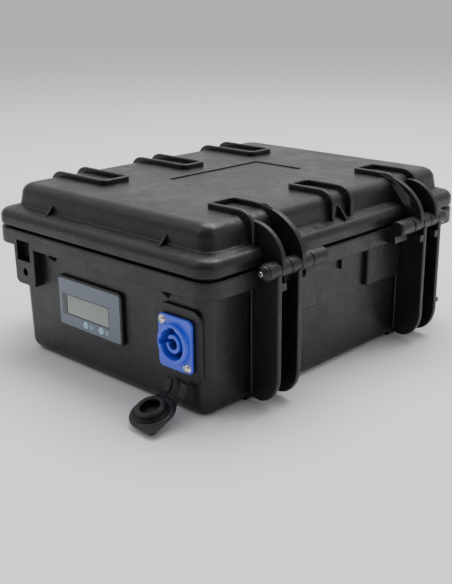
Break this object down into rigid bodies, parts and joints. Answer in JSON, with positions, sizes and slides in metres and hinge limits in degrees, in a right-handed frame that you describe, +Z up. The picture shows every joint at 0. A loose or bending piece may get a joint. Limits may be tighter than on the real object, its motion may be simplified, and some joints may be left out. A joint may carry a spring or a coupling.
{
  "type": "portable battery",
  "caption": "Portable battery in a rugged hinged plastic case with latches, a carry handle, a panel meter with two keys and a twist-lock power socket with a tethered cap.",
  "frame": {"origin": "centre of the flat underside of the case", "axes": "+Z up, the meter and socket side faces -Y, the hinge side +X, the latches and handle -X"},
  "size_m": [0.2288, 0.2753, 0.1118],
  "materials": {
    "case_plastic": "moulded with a fine leather-like grain",
    "black_rubber": "matt moulded",
    "bright_steel": "bright plated",
    "cell_film": "blue insulating film over an aluminium can",
    "grey_foam": "closed-cell foam",
    "plated_copper": "nickelled",
    "printed_overlay": "satin printed film",
    "lcd_window": "smooth display window",
    "button_blue": "satin moulded",
    "circuit_board": "green solder mask",
    "socket_blue": "satin moulded",
    "end_plate_grey": "mill finish",
    "steel_band": "rolled",
    "plain_aluminium": "mill finish",
    "component_black": "moulded",
    "fuse_amber": "translucent moulded",
    "red_insulation": "smooth",
    "black_insulation": "smooth",
    "grey_insulation": "smooth"
  },
  "bodies": {
    "base": {"base_shell": "case_plastic", "meter_bezel": "case_plastic", "meter_rear_cover": "case_plastic", "meter_switch_left": "case_plastic", "meter_switch_right": "case_plastic", "lid_seal": "black_rubber", "socket_gasket": "black_rubber", "hinge_pin_front": "bright_steel", "hinge_pin_rear": "bright_steel", "handle_pin_front": "bright_steel", "handle_pin_rear": "bright_steel", "socket_screw_upper": "bright_steel", "socket_screw_lower": "bright_steel", "socket_nut_upper": "bright_steel", "socket_nut_lower": "bright_steel", "cell_1": "cell_film", "cell_2": "cell_film", "cell_3": "cell_film", "cell_4": "cell_film", "cell_pad": "grey_foam", "busbar_1": "plated_copper", "busbar_2": "plated_copper", "busbar_3": "plated_copper", "socket_contact_1": "plated_copper", "socket_contact_2": "plated_copper", "socket_contact_3": "plated_copper", "meter_overlay": "printed_overlay", "meter_lcd": "lcd_window", "meter_board": "circuit_board", "bms_board": "circuit_board", "socket_housing": "socket_blue", "socket_insert": "socket_blue", "end_plate_front": "end_plate_grey", "end_plate_rear": "end_plate_grey", "pack_band_lower": "steel_band", "pack_band_upper": "steel_band", "bms_plate": "plain_aluminium", "bms_transistors": "component_black", "fuse_holder": "component_black", "blade_fuse": "fuse_amber", "lead_socket_positive": "red_insulation", "lead_fuse_to_cells": "red_insulation", "lead_socket_negative": "black_insulation", "lead_meter": "grey_insulation"},
    "lid": {"lid_shell": "case_plastic", "lid_foam": "grey_foam", "latch_pin_front": "bright_steel", "latch_pin_rear": "bright_steel"},
    "front_latch": {"latch_front": "case_plastic"},
    "rear_latch": {"latch_rear": "case_plastic"},
    "handle": {"carry_handle": "case_plastic"},
    "cap": {"sealing_cap": "black_rubber"},
    "left_button": {"meter_button_left": "button_blue"},
    "right_button": {"meter_button_right": "button_blue"}
  },
  "joints": [
    {"name": "lid_hinge", "type": "hinge", "parent": "base", "child": "lid", "pos_m": [0.1054, 0, 0.082], "axis": [0, 1, 0], "range_deg": [0, 105]},
    {"name": "front_latch_pivot", "type": "hinge", "parent": "lid", "child": "front_latch", "pos_m": [-0.1018, -0.0712, 0.0885], "axis": [0, 1, 0], "range_deg": [-10, 100]},
    {"name": "rear_latch_pivot", "type": "hinge", "parent": "lid", "child": "rear_latch", "pos_m": [-0.1018, 0.0712, 0.0885], "axis": [0, 1, 0], "range_deg": [-10, 100]},
    {"name": "handle_fold", "type": "hinge", "parent": "base", "child": "handle", "pos_m": [-0.0885, 0, 0.061], "axis": [0, 1, 0], "range_deg": [0, 100]},
    {"name": "cap_hinge", "type": "hinge", "parent": "base", "child": "cap", "pos_m": [0.0707, -0.1199, 0.0203], "axis": [1, 0, 0], "range_deg": [-109, 0]},
    {"name": "left_button_press", "type": "slide", "parent": "base", "child": "left_button", "axis": [0, 1, 0], "range_m": [0, 0.0004], "stiffness_N_per_m": 800},
    {"name": "right_button_press", "type": "slide", "parent": "base", "child": "right_button", "axis": [0, 1, 0], "range_m": [0, 0.0004], "stiffness_N_per_m": 800}
  ]
}
